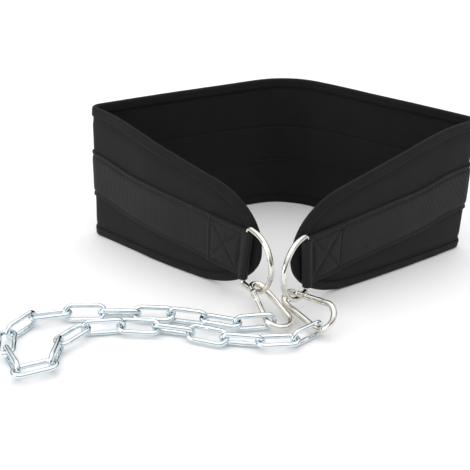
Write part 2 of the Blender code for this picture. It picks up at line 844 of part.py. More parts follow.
def make_chain(root):
    pattern_link = add("link_pattern", wire_curve("link", link_points(), LINK_WIRE, 6, True), "zinc", root)
    mesh = meshed(pattern_link)
    bpy.data.objects.remove(pattern_link)
    links = []
    for number, (start, direction, lean) in enumerate(chain_places(), start=1):
        link = add(f"chain_link_{number:02d}", mesh, "zinc", root)
        side = Vector((0, 0, 1)).cross(direction).normalized()
        frame = Matrix((direction, side, direction.cross(side))).transposed().to_4x4()
        roll = lean if number % 2 else lean - math.pi / 2
        link.matrix_world = Matrix.Translation(start) @ frame @ Matrix.Rotation(roll, 4, "X")
        links.append(link)
    return links


def centre_on_floor(root, pieces):
    """Move the whole belt so that the origin is under the middle of everything that is built."""
    bpy.context.view_layer.update()
    graph = bpy.context.evaluated_depsgraph_get()
    points = []
    for piece in pieces:
        mesh = piece.evaluated_get(graph).to_mesh()
        points += [piece.matrix_world @ vertex.co for vertex in mesh.vertices]
    for axis in (0, 1):
        values = [point[axis] for point in points]
        root.location[axis] = -(min(values) + max(values)) / 2


for leftover in list(bpy.data.objects):
    bpy.data.objects.remove(leftover)

PARTS = collection("dip_belt")
CUTTERS = collection("cutters")
MATERIALS = {name: material(name) for name in COLOURS}

BELT = bpy.data.objects.new("dip_belt", None)
PARTS.objects.link(BELT)
BUILT = [make_body(BELT), make_binding(BELT), make_strap(BELT)]
for SIDE, LABEL in ((-1, "left"), (1, "right")):
    BUILT.append(make_ring(SIDE, f"d_ring_{LABEL}", BELT))
    BUILT.append(make_hook(SIDE, f"hook_{LABEL}", BELT))
    BUILT.append(make_gate(SIDE, f"gate_{LABEL}", BELT))
    BUILT.append(make_pin(SIDE, f"pin_{LABEL}", BELT))
BUILT += make_chain(BELT)
centre_on_floor(BELT, BUILT)
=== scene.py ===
import json
import math

import bmesh
import bpy
from mathutils import Matrix, Vector, noise

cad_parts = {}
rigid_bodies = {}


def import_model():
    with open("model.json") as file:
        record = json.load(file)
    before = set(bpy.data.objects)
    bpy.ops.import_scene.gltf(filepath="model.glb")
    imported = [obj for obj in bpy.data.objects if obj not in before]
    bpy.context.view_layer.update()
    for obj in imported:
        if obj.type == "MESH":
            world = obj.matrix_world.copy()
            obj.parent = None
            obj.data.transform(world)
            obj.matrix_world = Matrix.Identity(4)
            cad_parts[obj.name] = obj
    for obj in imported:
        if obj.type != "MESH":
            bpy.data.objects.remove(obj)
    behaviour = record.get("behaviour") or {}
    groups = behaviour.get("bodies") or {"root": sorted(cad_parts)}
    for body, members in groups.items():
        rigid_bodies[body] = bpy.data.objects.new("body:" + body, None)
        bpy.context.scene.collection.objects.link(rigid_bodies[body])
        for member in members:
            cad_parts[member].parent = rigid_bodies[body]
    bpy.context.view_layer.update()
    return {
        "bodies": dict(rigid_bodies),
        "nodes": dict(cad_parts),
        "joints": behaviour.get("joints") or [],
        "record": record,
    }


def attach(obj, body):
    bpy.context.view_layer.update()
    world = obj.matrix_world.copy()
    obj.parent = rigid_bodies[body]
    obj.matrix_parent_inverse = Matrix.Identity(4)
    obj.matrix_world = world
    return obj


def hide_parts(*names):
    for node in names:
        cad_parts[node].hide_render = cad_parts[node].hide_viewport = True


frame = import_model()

# Studio
# The belt is photographed alone on white, from the front and above, with soft light from both sides.
# The camera is a short telephoto that looks 24 degrees down and is rolled slightly.
scene = bpy.context.scene
LENS = 64.6
PICTURE_SHIFT = -0.007
CAMERA_PITCH = math.radians(66.0)
CAMERA_ROLL = math.radians(1.8)
# The belt's drawing, in which the camera and every piece are placed, is shifted by this to the model's origin
FLOOR_CENTRE = Vector((0.022835, 0.089884, 0.0))
CAMERA_PLACE = Vector((-0.048, -0.872, 0.397)) + FLOOR_CENTRE

camera_data = bpy.data.cameras.new("camera")
camera_data.sensor_width = 36.0
camera_data.lens = LENS
camera_data.shift_y = PICTURE_SHIFT
camera_data.clip_end = 20.0
camera = bpy.data.objects.new("camera", camera_data)
scene.collection.objects.link(camera)
camera_turn = Matrix.Rotation(CAMERA_PITCH, 4, "X") @ Matrix.Rotation(CAMERA_ROLL, 4, "Z")
camera.matrix_world = Matrix.Translation(CAMERA_PLACE) @ camera_turn
scene.camera = camera

ZENITH_LIGHT = 1.9
HORIZON_LIGHT = 0.06
HORIZON_BAND = 0.12
world = bpy.data.worlds.new("white_studio")
world.use_nodes = True
sky = world.node_tree
direction = sky.nodes.new("ShaderNodeTexCoord")
axes = sky.nodes.new("ShaderNodeSeparateXYZ")
fall = sky.nodes.new("ShaderNodeMapRange")
fall.inputs["From Min"].default_value = HORIZON_BAND
fall.inputs["To Min"].default_value = HORIZON_LIGHT
fall.inputs["To Max"].default_value = ZENITH_LIGHT
sky.links.new(direction.outputs["Generated"], axes.inputs["Vector"])
sky.links.new(axes.outputs["Z"], fall.inputs["Value"])
# Seen directly the studio is white; its darker horizon shows only in the metal
ray = sky.nodes.new("ShaderNodeLightPath")
shown = sky.nodes.new("ShaderNodeMath")
shown.operation = "MAXIMUM"
sky.links.new(fall.outputs["Result"], shown.inputs[0])
sky.links.new(ray.outputs["Is Camera Ray"], shown.inputs[1])
sky.links.new(shown.outputs["Value"], sky.nodes["Background"].inputs["Strength"])
sky.nodes["Background"].inputs["Color"].default_value = (1.0, 1.0, 1.0, 1.0)
scene.world = world
scene.view_settings.view_transform = "Standard"


def add_light(name, spot, aim, size, watts):
    """Soft rectangular lamp with a height and a width."""
    data = bpy.data.lights.new(name, "AREA")
    data.shape = "RECTANGLE"
    data.size, data.size_y = size
    data.energy = watts
    light = bpy.data.objects.new(name, data)
    light.location = spot
    light.rotation_euler = (Vector(aim) - Vector(spot)).to_track_quat("-Z", "Y").to_euler()
    scene.collection.objects.link(light)


add_light("window_left", (-1.5, -1.0, 0.45), (0.0, 0.0, 0.07), (0.8, 0.7), 11.0)
add_light("window_right", (1.6, -0.6, 0.5), (0.0, 0.1, 0.07), (0.5, 0.7), 0.8)

FLOOR_REACH = 12.0
floor_mesh = bpy.data.meshes.new("floor")
shape = bmesh.new()
bmesh.ops.create_grid(shape, x_segments=1, y_segments=1, size=FLOOR_REACH)
shape.to_mesh(floor_mesh)
shape.free()
floor = bpy.data.objects.new("floor", floor_mesh)
scene.collection.objects.link(floor)
floor_paint = bpy.data.materials.new("floor_paper")
floor_paint.use_nodes = True
paper = floor_paint.node_tree.nodes["Principled BSDF"]
paper.inputs["Base Color"].default_value = (0.95, 0.95, 0.955, 1.0)
paper.inputs["Roughness"].default_value = 0.6
floor_mesh.materials.append(floor_paint)

# Padded panel
# One piece of 5 mm foam with a fine knitted face on both sides, cut to a pattern that is tall at the back
# and tapers to a rounded tip at each end. It stands on edge, bent sharply at the sides, softly at the back.
GAP = 0.0003
BELT_LENGTH = 0.955
BELT_HEIGHT = 0.158
BELT_SPREAD = 0.417
BELT_DEPTH = 0.262
PANEL_THICKNESS = 0.0054
PANEL_EDGE_THICKNESS = 0.0036
PAD_SWELL = 0.012
TIP_LEVEL = 0.048
TIP_TOP_START = 0.875
TIP_TOP_POWER = 2.4
TIP_FOOT_START = 0.835
TIP_FOOT_POWER = 2.0
TIP_BLUNT = 0.00002
STRAP_WIDTH = 0.050
TAPE_THICKNESS = 0.0009
TAPE_WIDTH = 0.010
SWAY_WAVE = 0.0014
SWAY_RIPPLE = 0.0006
SWAY_END = 0.34
SWAY_FADE = 0.06
SEAM_ROW = 0.021
SEAM_HALF_WIDTH = 0.0024
SEAM_PULL = 0.0030
TIP_RUN = 0.030
RIM_ROUND = 0.0025
MITRE_LIMIT = 0.5
SLOPE_STEP = 0.009
CLOTH_STEP = 0.004
TIP_COLUMNS = 16
PLAN_CORNERS = {
    "left_end": (-0.026, -0.563, 0.0),
    "left_bow": (-0.301, -0.251, 0.500),
    "left_fold": (-0.501, 0.027, 0.009),
    "back": (0.027, 0.496, 0.070),
    "right_fold": (0.499, 0.004, 0.009),
    "right_bow": (0.311, -0.238, 0.500),
    "right_end": (0.017, -0.580, 0.0),
}
PATTERN = (
    {"along": 0.000, "top": 1.000, "strap": 0.487},
    {"along": 0.250, "top": 0.977, "strap": 0.487},
    {"along": 0.490, "top": 0.945, "strap": 0.469},
    {"along": 0.555, "top": 0.935, "strap": 0.455},
    {"along": 0.635, "top": 0.897, "strap": 0.405},
    {"along": 0.740, "top": 0.816, "strap": 0.369},
    {"along": 0.880, "top": 0.707, "strap": 0.318},
    {"along": 1.000, "top": 0.620, "strap": 0.282},
)


def mix(first, second, share):
    """Value between two others: the first at share 0, the second at share 1."""
    return first + (second - first) * share


def ease(value):
    """Smooth rise from 0 to 1."""
    value = min(max(value, 0.0), 1.0)
    return value * value * (3.0 - 2.0 * value)


def arc(centre, radius, start, end, steps):
    """Points round a circle in the plane, both ends included."""
    angles = [mix(start, end, step / steps) for step in range(steps + 1)]
    return [Vector(centre) + radius * Vector((math.cos(a), math.sin(a))) for a in angles]


def plan_stretches():
    """Straight and round stretches of the belt's middle surface, seen from above."""
    corners = [(Vector((x * BELT_SPREAD, y * BELT_DEPTH)), bend) for x, y, bend in PLAN_CORNERS.values()]
    names = list(PLAN_CORNERS)
    stretches = []
    start = corners[0][0]
    length = 0.0
    middle = 0.0
    for number in range(1, len(corners) - 1):
        corner, radius = corners[number]
        heading = (corner - corners[number - 1][0]).normalized()
        onward = (corners[number + 1][0] - corner).normalized()
        turn = math.atan2(heading.cross(onward), heading.dot(onward))
        reach = radius * math.tan(abs(turn) / 2)
        straight = (corner - start).length - reach
        stretches.append({"at": length, "start": start, "heading": heading, "length": straight, "turn": 0.0})
        length += straight
        bend = radius * abs(turn)
        entry = corner - heading * reach
        stretches.append({"at": length, "start": entry, "heading": heading, "length": bend, "turn": turn})
        if names[number] == "back":
            middle = length + bend / 2
        length += bend
        start = corner + onward * reach
    last = (corners[-1][0] - start)
    stretches.append({"at": length, "start": start, "heading": last.normalized(), "length": last.length,
                      "turn": 0.0})
    for stretch in stretches:
        stretch["at"] -= middle
    return stretches


STRETCHES = plan_stretches()


def along_plan(distance):
    """Point of the plan line, its heading and outward normal, at a distance from the middle of the back."""
    stretch = [part for part in STRETCHES if part["at"] <= distance or part is STRETCHES[0]][-1]
    gone = distance - stretch["at"]
    heading = stretch["heading"]
    if stretch["turn"] == 0.0:
        point = stretch["start"] + heading * gone
    else:
        radius = stretch["length"] / stretch["turn"]
        normal = Vector((-heading.y, heading.x))
        angle = gone / radius
        point = stretch["start"] + heading * radius * math.sin(angle)
        point = point + normal * radius * (1 - math.cos(angle))
        heading = heading * math.cos(angle) + normal * math.sin(angle)
    return point, heading, Vector((-heading.y, heading.x))


def sway(distance, height):
    """Slow waves of the soft belt, outwards from its drawn surface."""
    wave = noise.noise(Vector((distance * 11.0, height * 9.0, 4.0)))
    ripple = noise.noise(Vector((distance * 34.0, height * 22.0, 9.0)))
    still = ease((abs(distance) - SWAY_END) / SWAY_FADE)
    return (SWAY_WAVE * wave + SWAY_RIPPLE * ripple) * (1.0 - still)


def place(distance, outward, height):
    """Point of the standing belt for a place of the flat pattern."""
    point, _, normal = along_plan(distance)
    point = point + normal * (outward + sway(distance, height)) + FLOOR_CENTRE.xy
    return Vector((point.x, point.y, height))


def pattern(name, distance):
    """Smooth value of a pattern column at a distance from the middle of the back."""
    share = min(abs(distance) / (BELT_LENGTH / 2), 1.0)
    rows = [(row["along"], row[name]) for row in PATTERN]
    index = max(number for number in range(len(rows) - 1) if rows[number][0] <= share)
    slopes = []
    for number in (index, index + 1):
        before = rows[max(number - 1, 0)]
        after = rows[min(number + 1, len(rows) - 1)]
        slopes.append((after[1] - before[1]) / (after[0] - before[0]))
    if index == 0:
        slopes[0] = 0.0
    width = rows[index + 1][0] - rows[index][0]
    part = (share - rows[index][0]) / width
    rise = rows[index + 1][1] - rows[index][1]
    bulge = part * (1 - part) * (slopes[0] * width * (1 - part) - slopes[1] * width * part)
    return rows[index][1] + rise * ease(part) + bulge


def rounded(distance, start, power):
    """Height share that is left where a tip is rounded, from 1 before it starts to 0 at the tip."""
    share = (abs(distance) / (BELT_LENGTH / 2) - start) / (1 - start)
    return (1 - min(max(share, 0.0), 1.0) ** power) ** (1 / power)


def top_edge(distance):
    straight = pattern("top", distance) * BELT_HEIGHT
    return mix(TIP_LEVEL, straight, rounded(distance, TIP_TOP_START, TIP_TOP_POWER))


def foot_edge(distance):
    return mix(TIP_LEVEL, 0.0, rounded(distance, TIP_FOOT_START, TIP_FOOT_POWER))


def strap_level(distance):
    return pattern("strap", distance) * BELT_HEIGHT


def inset(points, depth):
    """Closed outline moved inwards."""
    moved = []
    for number, point in enumerate(points):
        before = (point - points[number - 1]).normalized()
        after = (points[(number + 1) % len(points)] - point).normalized()
        inward = (Vector((-before.y, before.x)) + Vector((-after.y, after.x))).normalized()
        moved.append(point + inward * depth / max(inward.dot(Vector((-before.y, before.x))), MITRE_LIMIT))
    return moved


def spread(step, tip_steps):
    """Distances along the belt, even on the long run and closer and closer towards each tip."""
    straight = BELT_LENGTH / 2 - TIP_RUN
    count = round(straight / step)
    half = [straight * number / count for number in range(count)]
    half += [straight + TIP_RUN * math.sin(math.pi / 2 * number / tip_steps) for number in range(tip_steps)]
    half.append(BELT_LENGTH / 2 - TIP_BLUNT)
    return [-distance for distance in reversed(half[1:])] + half


def strap_slope(distance):
    """Angle at which the strap falls towards a tip."""
    rise = strap_level(abs(distance) + SLOPE_STEP) - strap_level(abs(distance) - SLOPE_STEP)
    return math.atan2(rise, 2 * SLOPE_STEP)


def panel_half(distance, height):
    """Half the panel's thickness: thin at the binding, full in the middle, drawn in at the strap's seams."""
    from_edge = min(height - foot_edge(distance), top_edge(distance) - height)
    inside = min(from_edge, BELT_LENGTH / 2 - abs(distance)) - TAPE_WIDTH
    swell = ease(inside / PAD_SWELL)
    thick = mix(PANEL_EDGE_THICKNESS, PANEL_THICKNESS, swell)
    off_middle = (height - strap_level(distance)) * math.cos(strap_slope(distance))
    off_seam = (abs(off_middle) - SEAM_ROW) / SEAM_HALF_WIDTH
    sewn = math.exp(-off_seam * off_seam) * SEAM_PULL * swell
    rim = min(max((inside + TAPE_WIDTH) / RIM_ROUND, 0.5), 1.0)
    return (thick - sewn) / 2 * rim


def mapped_grid(name, across, along, closed, point, flat):
    """Mesh of a grid, with its places and its flat pattern as UV given for each column and row."""
    shape = bmesh.new()
    columns = along if closed else along - 1
    rows = across if closed else across - 1
    bmesh.ops.create_grid(shape, x_segments=columns, y_segments=rows, size=0.5)
    layer = shape.loops.layers.uv.new("flat")
    places = {}
    for vertex in shape.verts:
        places[vertex] = (round((vertex.co.x + 0.5) * columns), round((vertex.co.y + 0.5) * rows))
    for face in shape.faces:
        face.smooth = True
        for corner in face.loops:
            corner[layer].uv = flat(*places[corner.vert])
    for vertex, (column, row) in places.items():
        vertex.co = point(column % along, row % across)
    if closed:
        bmesh.ops.remove_doubles(shape, verts=shape.verts, dist=1e-7)
    bmesh.ops.recalc_face_normals(shape, faces=shape.faces)
    mesh = bpy.data.meshes.new(name)
    shape.to_mesh(mesh)
    shape.free()
    return mesh


def add(name, mesh, paint, node):
    """Piece of the scene that takes the place of one CAD node."""
    piece = bpy.data.objects.new(name, mesh)
    scene.collection.objects.link(piece)
    mesh.materials.clear()
    mesh.materials.append(paint)
    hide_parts(node)
    return piece


def new_paint(name, colour, roughness, metallic=0.0):
    """Material with one main shader, and the coordinates that its patterns read."""
    paint = bpy.data.materials.new(name)
    paint.use_nodes = True
    tree = paint.node_tree
    shader = tree.nodes["Principled BSDF"]
    shader.inputs["Base Color"].default_value = (*colour, 1.0)
    shader.inputs["Roughness"].default_value = roughness
    shader.inputs["Metallic"].default_value = metallic
    return paint, tree, shader, tree.nodes.new("ShaderNodeTexCoord")


def turned_place(tree, socket, angle=0.0, stretch=(1.0, 1.0, 1.0)):
    """Coordinates turned about Z and stretched."""
    mapping = tree.nodes.new("ShaderNodeMapping")
    mapping.inputs["Rotation"].default_value = (0.0, 0.0, angle)
    mapping.inputs["Scale"].default_value = stretch
    tree.links.new(socket, mapping.inputs["Vector"])
    return mapping.outputs["Vector"]


def bands(tree, socket, pitch, direction="X"):
    """Even ribs of a given pitch in metres."""
    wave = tree.nodes.new("ShaderNodeTexWave")
    wave.wave_type = "BANDS"
    wave.bands_direction = direction
    wave.wave_profile = "SIN"
    wave.inputs["Scale"].default_value = math.pi / 10 / pitch
    wave.inputs["Distortion"].default_value = 0.0
    tree.links.new(socket, wave.inputs["Vector"])
    return wave.outputs["Fac"]


def grain(tree, socket, size, detail=3.0):
    """Soft noise whose grains have a given size in metres."""
    texture = tree.nodes.new("ShaderNodeTexNoise")
    texture.inputs["Scale"].default_value = 1.0 / size
    texture.inputs["Detail"].default_value = detail
    tree.links.new(socket, texture.inputs["Vector"])
    return texture.outputs["Fac"]


def combine(tree, kind, first, second):
    """Sum or product of two patterns, or of a pattern and a number."""
    maths = tree.nodes.new("ShaderNodeMath")
    maths.operation = kind
    for slot, value in zip(maths.inputs, (first, second)):
        if isinstance(value, float):
            slot.default_value = value
        else:
            tree.links.new(value, slot)
    return maths.outputs["Value"]


def tint(tree, pattern, dark, light, shader, socket="Base Color"):
    """Colour between two tones by a pattern."""
    ramp = tree.nodes.new("ShaderNodeMix")
    ramp.data_type = "RGBA"
    ramp.inputs["A"].default_value = (*dark, 1.0)
    ramp.inputs["B"].default_value = (*light, 1.0)
    tree.links.new(pattern, ramp.inputs["Factor"])
    tree.links.new(ramp.outputs["Result"], shader.inputs[socket])


def ranged(tree, pattern, low, high, shader, socket):
    """Pattern brought between two values and put on a shader socket."""
    spread_node = tree.nodes.new("ShaderNodeMapRange")
    spread_node.inputs["From Min"].default_value = 0.3
    spread_node.inputs["From Max"].default_value = 0.7
    spread_node.inputs["To Min"].default_value = low
    spread_node.inputs["To Max"].default_value = high
    tree.links.new(pattern, spread_node.inputs["Value"])
    tree.links.new(spread_node.outputs["Result"], shader.inputs[socket])


def relief(tree, pattern, height, shader, strength=1.0):
    """Fine relief of a given height in metres."""
    bump = tree.nodes.new("ShaderNodeBump")
    bump.inputs["Strength"].default_value = strength
    bump.inputs["Distance"].default_value = height
    tree.links.new(pattern, bump.inputs["Height"])
    tree.links.new(bump.outputs["Normal"], shader.inputs["Normal"])


KNIT_DARK = (0.005, 0.005, 0.0052)
KNIT_LIGHT = (0.0125, 0.0125, 0.013)
knit, knit_tree, knit_shader, knit_place = new_paint("knitted_face", KNIT_LIGHT, 0.85)
knit_flat = knit_place.outputs["UV"]
wales = bands(knit_tree, knit_flat, 0.0011)
courses = bands(knit_tree, knit_flat, 0.0009, "Y")
stitches_pattern = combine(knit_tree, "MULTIPLY", wales, courses)
fuzz = grain(knit_tree, knit_flat, 0.0006)
cloth_relief = combine(knit_tree, "ADD", stitches_pattern, combine(knit_tree, "MULTIPLY", fuzz, 0.6))
relief(knit_tree, cloth_relief, 0.00025, knit_shader, 0.7)
# The knit's colour mixes a painted sheen, broad 30 mm patches painted lighter and darker, with the fine fuzz
# of its fibres.
painted_sheen_and_fuzz = combine(knit_tree, "ADD", combine(knit_tree, "MULTIPLY", grain(knit_tree, knit_flat, 0.03), 0.6),
               combine(knit_tree, "MULTIPLY", fuzz, 0.4))
tint(knit_tree, painted_sheen_and_fuzz, KNIT_DARK, KNIT_LIGHT, knit_shader)
knit_shader.inputs["Sheen Weight"].default_value = 0.05
knit_shader.inputs["Sheen Roughness"].default_value = 0.6
knit_shader.inputs["Specular IOR Level"].default_value = 0.12

PANEL_COLUMNS = spread(CLOTH_STEP, TIP_COLUMNS)
PANEL_ROWS = 97
FINE_OUTLINE = ([Vector((distance, foot_edge(distance))) for distance in PANEL_COLUMNS]
                + [Vector((distance, top_edge(distance))) for distance in reversed(PANEL_COLUMNS)])
PANEL_RIM = inset(FINE_OUTLINE, TAPE_THICKNESS + GAP)


def panel_spot(column, row):
    """Pattern place of a point of the panel's grid."""
    foot = PANEL_RIM[column]
    top = PANEL_RIM[len(FINE_OUTLINE) - 1 - column]
    return foot.lerp(top, row / (PANEL_ROWS - 1))


def panel_point(column, row):
    spot = panel_spot(column, row)
    return place(spot.x, 0.0, spot.y)


panel_mesh = mapped_grid("padded_panel", PANEL_ROWS, len(PANEL_COLUMNS), False, panel_point, panel_spot)
panel = add("padded_panel", panel_mesh, knit, "belt_body")
thickness_group = panel.vertex_groups.new(name="thickness")
panel_layer = panel_mesh.uv_layers["flat"]
for corner in panel_mesh.loops:
    spot = panel_layer.data[corner.index].uv
    share = panel_half(spot.x, spot.y) * 2 / PANEL_THICKNESS
    thickness_group.add([corner.vertex_index], share, "REPLACE")
filling = panel.modifiers.new("filling", "SOLIDIFY")
filling.thickness = PANEL_THICKNESS
filling.offset = 0.0
filling.vertex_group = thickness_group.name
filling.use_rim = True
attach(panel, "belt")

# Edge binding
# A 20 mm woven tape folded in half over the whole edge and sewn down near its border.
# Its free borders pull in and out a little between the stitches, as sewn tape does on foam.
PUCKER = 0.0006
PUCKER_LENGTH = 0.009
SEAM_DEPTH = 0.0078
TAPE_PULL = 0.0006
TAPE_PULL_WIDTH = 0.0012
TAPE_ARC_STEPS = 6
inner_face = PANEL_EDGE_THICKNESS / 2 + GAP
outer_face = inner_face + TAPE_THICKNESS


def tape_section():
    """Closed section of the folded tape as (depth from the edge, offset) pairs."""
    flat_depths = (TAPE_WIDTH, TAPE_WIDTH * 0.9, SEAM_DEPTH, TAPE_WIDTH * 0.66, TAPE_WIDTH * 0.5)
    section = [(depth, outer_face) for depth in flat_depths]
    for step in range(TAPE_ARC_STEPS + 1):
        angle = math.pi * step / TAPE_ARC_STEPS
        section.append((outer_face * (1 - math.sin(angle)), outer_face * math.cos(angle)))
    section += [(depth, -outer_face) for depth in reversed(flat_depths)]
    section += [(depth, -inner_face) for depth in flat_depths]
    for step in range(TAPE_ARC_STEPS + 1):
        angle = math.pi * step / TAPE_ARC_STEPS
        section.append((outer_face - inner_face * math.sin(angle), -inner_face * math.cos(angle)))
    section += [(depth, inner_face) for depth in reversed(flat_depths)]
    return section


TAPE_SECTION = tape_section()
TAPE_LINES = {depth: inset(FINE_OUTLINE, depth) for depth, _ in TAPE_SECTION}
TAPE_RUN = [0.0]
for number in range(1, len(FINE_OUTLINE) + 1):
    gap = (FINE_OUTLINE[number % len(FINE_OUTLINE)] - FINE_OUTLINE[number - 1]).length
    TAPE_RUN.append(TAPE_RUN[-1] + gap)


def pucker(column, depth, outward):
    """Small ripple of the tape, strongest at its free border."""
    travel = TAPE_RUN[column]
    lean = noise.noise(Vector((travel / PUCKER_LENGTH, math.copysign(3.0, outward), 1.5)))
    return lean * PUCKER * depth / TAPE_WIDTH


def tape_point(column, row):
    depth, outward = TAPE_SECTION[row]
    spot = TAPE_LINES[depth][column]
    sewn = math.exp(-((depth - SEAM_DEPTH) / TAPE_PULL_WIDTH) ** 2) * TAPE_PULL
    ripple = math.copysign(pucker(column, depth, outward) - sewn, outward)
    return place(spot.x, outward + ripple, spot.y)


def tape_flat(column, row):
    return TAPE_RUN[column], row * 0.0012


TWILL_DARK = (0.004, 0.004, 0.0042)
TWILL_LIGHT = (0.014, 0.014, 0.0145)
tape, tape_tree, tape_shader, tape_place = new_paint("binding_tape", TWILL_LIGHT, 0.78)
tape_uv = tape_place.outputs["UV"]
twill = bands(tape_tree, turned_place(tape_tree, tape_uv, math.pi / 4), 0.0012)
tape_threads = combine(tape_tree, "MULTIPLY", twill, bands(tape_tree, tape_uv, 0.0008))
relief(tape_tree, tape_threads, 0.0003, tape_shader, 0.8)
tint(tape_tree, combine(tape_tree, "ADD", combine(tape_tree, "MULTIPLY", tape_threads, 0.5),
                        combine(tape_tree, "MULTIPLY", grain(tape_tree, tape_uv, 0.012), 0.5)),
     TWILL_DARK, TWILL_LIGHT, tape_shader)
tape_shader.inputs["Sheen Weight"].default_value = 0.05
tape_shader.inputs["Specular IOR Level"].default_value = 0.15

binding_mesh = mapped_grid("binding_tape", len(TAPE_SECTION), len(FINE_OUTLINE), True, tape_point, tape_flat)
binding = add("binding_tape", binding_mesh, tape, "edge_binding")
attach(binding, "belt")

# Webbing strap
# Heavy 50 mm webbing with crosswise ribs, sewn flat along the middle of the belt's outer face.
# At each end it turns round the D-ring's bar and comes back over itself as a short tail.
STRAP_THICKNESS = 0.0018
BAR_FROM_TIP = 0.013
TAIL_LENGTH = 0.048
FOLD_RADIUS = 0.003
CROSSING_START = 0.052
CROSSING_RUN = 0.030
RING_WIRE = 0.0055
LOOP_STEPS = 28
FOLD_STEPS = 8
STRAP_ROWS = 41
TAIL_COLUMNS = 32
TAIL_DENT = 0.0013
TAIL_DENT_WIDTH = 0.0018
BOX_INSET = 0.004
BOX_ACROSS = 0.84
BAR = BELT_LENGTH / 2 - BAR_FROM_TIP
LOOP_RADIUS = RING_WIRE / 2 + GAP + STRAP_THICKNESS / 2
LAYER = STRAP_THICKNESS + GAP
LOOP_LAYER = PANEL_EDGE_THICKNESS / 2 + TAPE_THICKNESS + 2 * GAP + STRAP_THICKNESS / 2
BAR_OUT = LOOP_LAYER + LOOP_RADIUS


def strap_layer(distance, across):
    """Offset of the strap's middle surface from the belt's, across being -1 to 1 from edge to edge."""
    height = strap_level(distance) + across * STRAP_WIDTH / 2 / math.cos(strap_slope(distance))
    bed = panel_half(distance, height) + GAP + STRAP_THICKNESS / 2
    lift = ease((abs(distance) - BAR + CROSSING_START) / CROSSING_RUN)
    return mix(bed, LOOP_LAYER, lift)


def strap_point(side, distance, across, outward):
    """Point of the strap; near a loop its crosswise line turns square to the strap."""
    square = ease((distance - BAR + CROSSING_START) / CROSSING_RUN)
    slope = strap_slope(min(distance, BAR))
    half = across * STRAP_WIDTH / 2
    shift = -math.sin(slope) * half * square
    rise = half * mix(1 / math.cos(slope), math.cos(slope), square)
    level = strap_level(min(distance, BAR)) + math.tan(slope) * max(distance - BAR, 0.0)
    return place(side * (distance + shift), outward, level + rise)


def loop_section():
    """Distance and offset of the strap's middle surface round the bar, from the belt back to the tail."""
    turn_back = LOOP_LAYER + LAYER + FOLD_RADIUS
    apart = LOOP_RADIUS + FOLD_RADIUS
    behind = math.sqrt(apart ** 2 - (turn_back - BAR_OUT) ** 2)
    lean = math.asin((turn_back - BAR_OUT) / apart)
    over = arc((BAR, BAR_OUT), LOOP_RADIUS, -math.pi / 2, math.pi - lean, LOOP_STEPS)
    under = arc((BAR - behind, turn_back), FOLD_RADIUS, -lean, -math.pi / 2, FOLD_STEPS)
    return over + under[1:]


TAIL_START = BAR - TAIL_LENGTH
LOOP = loop_section()
LOOP_END = LOOP[-1].x


def strap_path():
    """Side, distance and layer of each crosswise line of the strap, from the left tail to the right one."""
    run = [step * CLOTH_STEP for step in range(int(LOOP_END / CLOTH_STEP) + 1)] + [LOOP_END]
    back = [TAIL_START + (LOOP_END - TAIL_START) * step / TAIL_COLUMNS for step in range(TAIL_COLUMNS)]
    ends = []
    for side in (-1, 1):
        end = [(side, spot.x, spot.y) for spot in LOOP]
        end += [(side, distance, "tail") for distance in reversed(back)]
        ends.append(end)
    base = [(-1, distance, "base") for distance in reversed(run)]
    base += [(1, distance, "base") for distance in run[1:]]
    return list(reversed(ends[0])) + base + ends[1]


STRAP_PATH = strap_path()
BOX_CORNERS = ((0.0, -BOX_ACROSS), (1.0, -BOX_ACROSS), (1.0, BOX_ACROSS), (0.0, BOX_ACROSS),
               (0.0, -BOX_ACROSS), (1.0, BOX_ACROSS))
BOX_PATHS = (BOX_CORNERS, ((0.0, BOX_ACROSS), (1.0, -BOX_ACROSS)))
BOX_RUN = LOOP_END - TAIL_START - 1.5 * BOX_INSET


def seam_dent(distance, across):
    """How far the boxed cross draws a tail in at a place, as a share of the deepest."""
    here = Vector((distance, across * STRAP_WIDTH / 2))
    nearest = STRAP_WIDTH
    for path in BOX_PATHS:
        for first, second in zip(path, path[1:]):
            start = Vector((TAIL_START + BOX_INSET + BOX_RUN * first[0], first[1] * STRAP_WIDTH / 2))
            run = Vector((TAIL_START + BOX_INSET + BOX_RUN * second[0], second[1] * STRAP_WIDTH / 2)) - start
            share = min(max((here - start).dot(run) / run.length_squared, 0.0), 1.0)
            nearest = min(nearest, (here - start - run * share).length)
    return math.exp(-(nearest / TAIL_DENT_WIDTH) ** 2)


def strap_spot(column, row):
    side, distance, layer = STRAP_PATH[column]
    across = 2 * row / (STRAP_ROWS - 1) - 1
    outward = layer
    if layer == "tail":
        outward = strap_layer(distance, across) + LAYER - TAIL_DENT * seam_dent(distance, across)
    elif layer == "base":
        outward = strap_layer(distance, across)
    return strap_point(side, distance, across, outward)


STRAP_RUN = [0.0]
for number in range(1, len(STRAP_PATH)):
    middle = STRAP_ROWS // 2
    STRAP_RUN.append(STRAP_RUN[-1] + (strap_spot(number, middle) - strap_spot(number - 1, middle)).length)


def strap_flat(column, row):
    return STRAP_RUN[column], row / (STRAP_ROWS - 1) * STRAP_WIDTH


RIB_DARK = (0.004, 0.004, 0.0042)
RIB_LIGHT = (0.0165, 0.0165, 0.017)
web, web_tree, web_shader, web_place = new_paint("ribbed_webbing", RIB_LIGHT, 0.7)
web_uv = web_place.outputs["UV"]
ribs = bands(web_tree, web_uv, 0.0022)
weft = bands(web_tree, web_uv, 0.0011, "Y")
web_threads = combine(web_tree, "ADD", combine(web_tree, "MULTIPLY", ribs, 0.75),
                      combine(web_tree, "MULTIPLY", weft, 0.25))
relief(web_tree, web_threads, 0.0005, web_shader, 0.8)
tint(web_tree, combine(web_tree, "ADD", combine(web_tree, "MULTIPLY", web_threads, 0.6),
                       combine(web_tree, "MULTIPLY", grain(web_tree, web_uv, 0.02), 0.4)),
     RIB_DARK, RIB_LIGHT, web_shader)
web_shader.inputs["Sheen Weight"].default_value = 0.05
web_shader.inputs["Specular IOR Level"].default_value = 0.2

